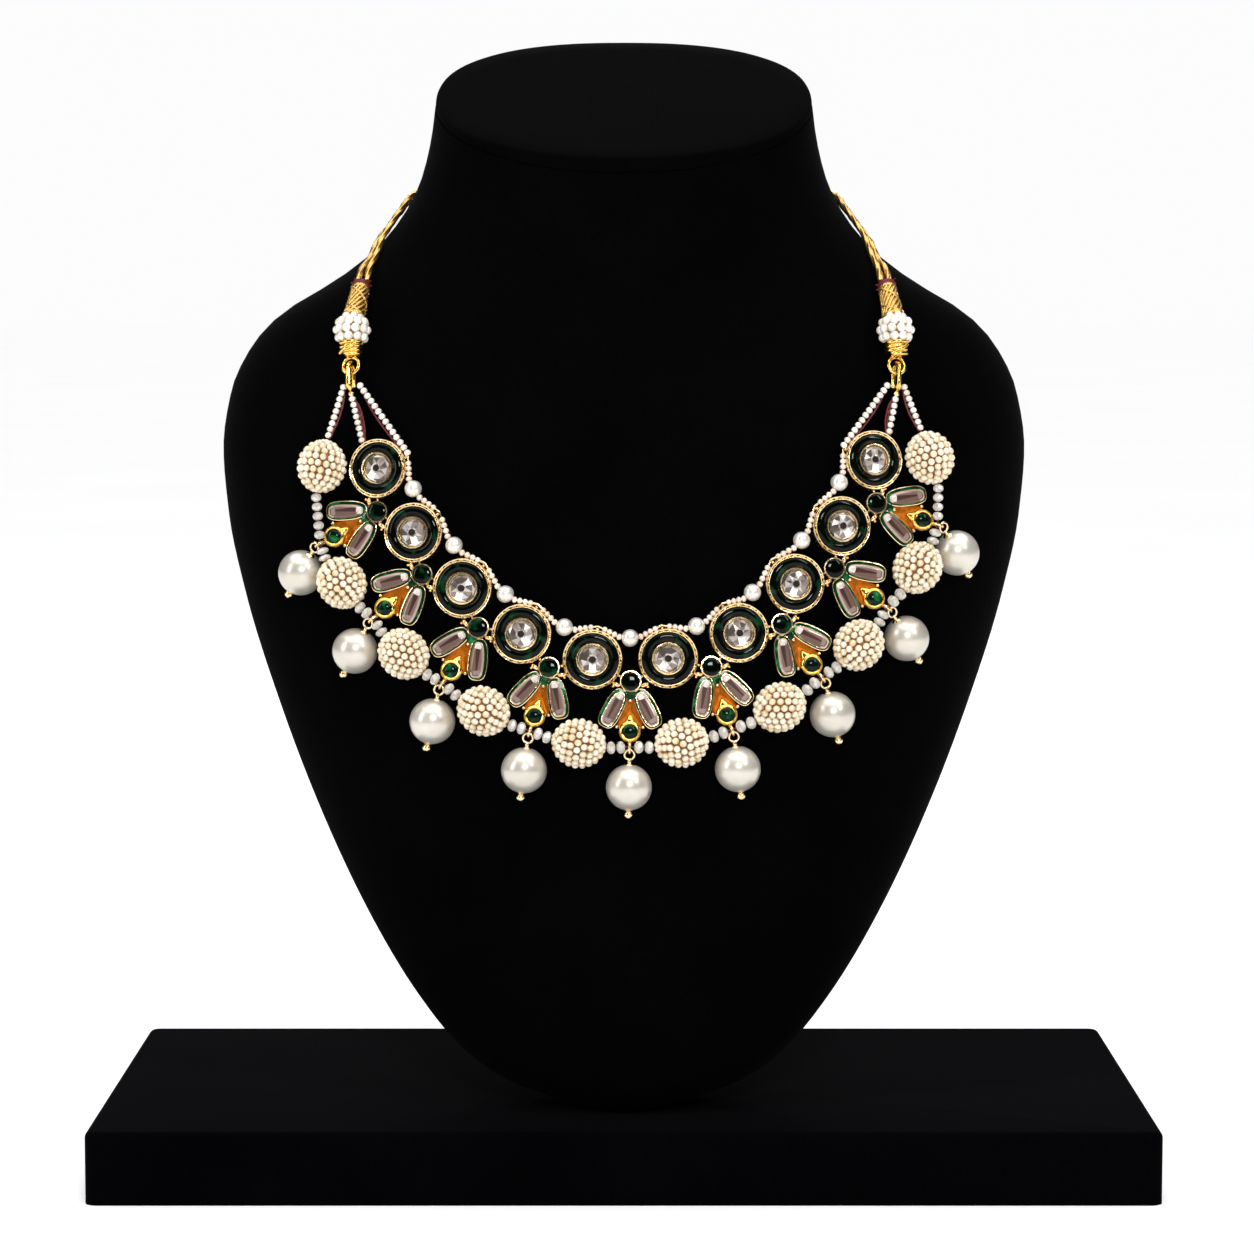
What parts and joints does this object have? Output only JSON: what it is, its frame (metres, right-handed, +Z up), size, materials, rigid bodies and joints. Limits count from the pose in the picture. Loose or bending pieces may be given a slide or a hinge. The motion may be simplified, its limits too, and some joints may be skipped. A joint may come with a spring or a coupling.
{
  "type": "kundan necklace on a neck bust",
  "caption": "Gilt kundan necklace of stone-set medallions, leaf motifs, woven pearl balls and pearl drops, worn by a plain velvet neck bust on a flat base.",
  "frame": {"origin": "centre of the base's underside, on the surface that the stand rests on", "axes": "+Z up, +X to the viewer's right, and the bust's front with the necklace faces -Y"},
  "size_m": [0.263, 0.126, 0.2873],
  "materials": {
    "board_velvet": "black velvet over board",
    "bust_velvet": "black velvet over a hard form",
    "gilt_metal": "polished gold plate with green enamel",
    "clear_stone": "clear faceted stone over foil",
    "seed_pearl": "cream seed pearls woven on thread",
    "drop_pearl": "soft pearl lustre",
    "zari_thread": "metallic gold thread wound over a cord"
  },
  "bodies": {
    "root": {"base": "board_velvet", "bust": "bust_velvet", "medallion_setting_1": "gilt_metal", "medallion_stone_1": "clear_stone", "medallion_setting_2": "gilt_metal", "medallion_stone_2": "clear_stone", "medallion_setting_3": "gilt_metal", "medallion_stone_3": "clear_stone", "medallion_setting_4": "gilt_metal", "medallion_stone_4": "clear_stone", "medallion_setting_5": "gilt_metal", "medallion_stone_5": "clear_stone", "medallion_setting_6": "gilt_metal", "medallion_stone_6": "clear_stone", "medallion_setting_7": "gilt_metal", "medallion_stone_7": "clear_stone", "medallion_setting_8": "gilt_metal", "medallion_stone_8": "clear_stone", "medallion_setting_9": "gilt_metal", "medallion_stone_9": "clear_stone", "medallion_setting_10": "gilt_metal", "medallion_stone_10": "clear_stone", "leaf_motif_1": "gilt_metal", "pearl_drop_1": "drop_pearl", "leaf_motif_2": "gilt_metal", "pearl_drop_2": "drop_pearl", "leaf_motif_3": "gilt_metal", "pearl_drop_3": "drop_pearl", "leaf_motif_4": "gilt_metal", "pearl_drop_4": "drop_pearl", "leaf_motif_5": "gilt_metal", "pearl_drop_5": "drop_pearl", "leaf_motif_6": "gilt_metal", "pearl_drop_6": "drop_pearl", "leaf_motif_7": "gilt_metal", "pearl_drop_7": "drop_pearl", "leaf_motif_8": "gilt_metal", "pearl_drop_8": "drop_pearl", "leaf_motif_9": "gilt_metal", "pearl_drop_9": "drop_pearl", "woven_ball_1": "seed_pearl", "woven_ball_2": "seed_pearl", "woven_ball_3": "seed_pearl", "woven_ball_4": "seed_pearl", "woven_ball_5": "seed_pearl", "woven_ball_6": "seed_pearl", "woven_ball_7": "seed_pearl", "woven_ball_8": "seed_pearl", "woven_ball_9": "seed_pearl", "woven_ball_10": "seed_pearl", "outer_string": "seed_pearl", "inner_string": "drop_pearl", "middle_strand_left": "seed_pearl", "hook_left": "gilt_metal", "dori_end_left": "zari_thread", "middle_strand_right": "seed_pearl", "hook_right": "gilt_metal", "dori_end_right": "zari_thread", "dori_cord_inner": "zari_thread", "dori_cord_outer": "zari_thread"}
  },
  "joints": []
}
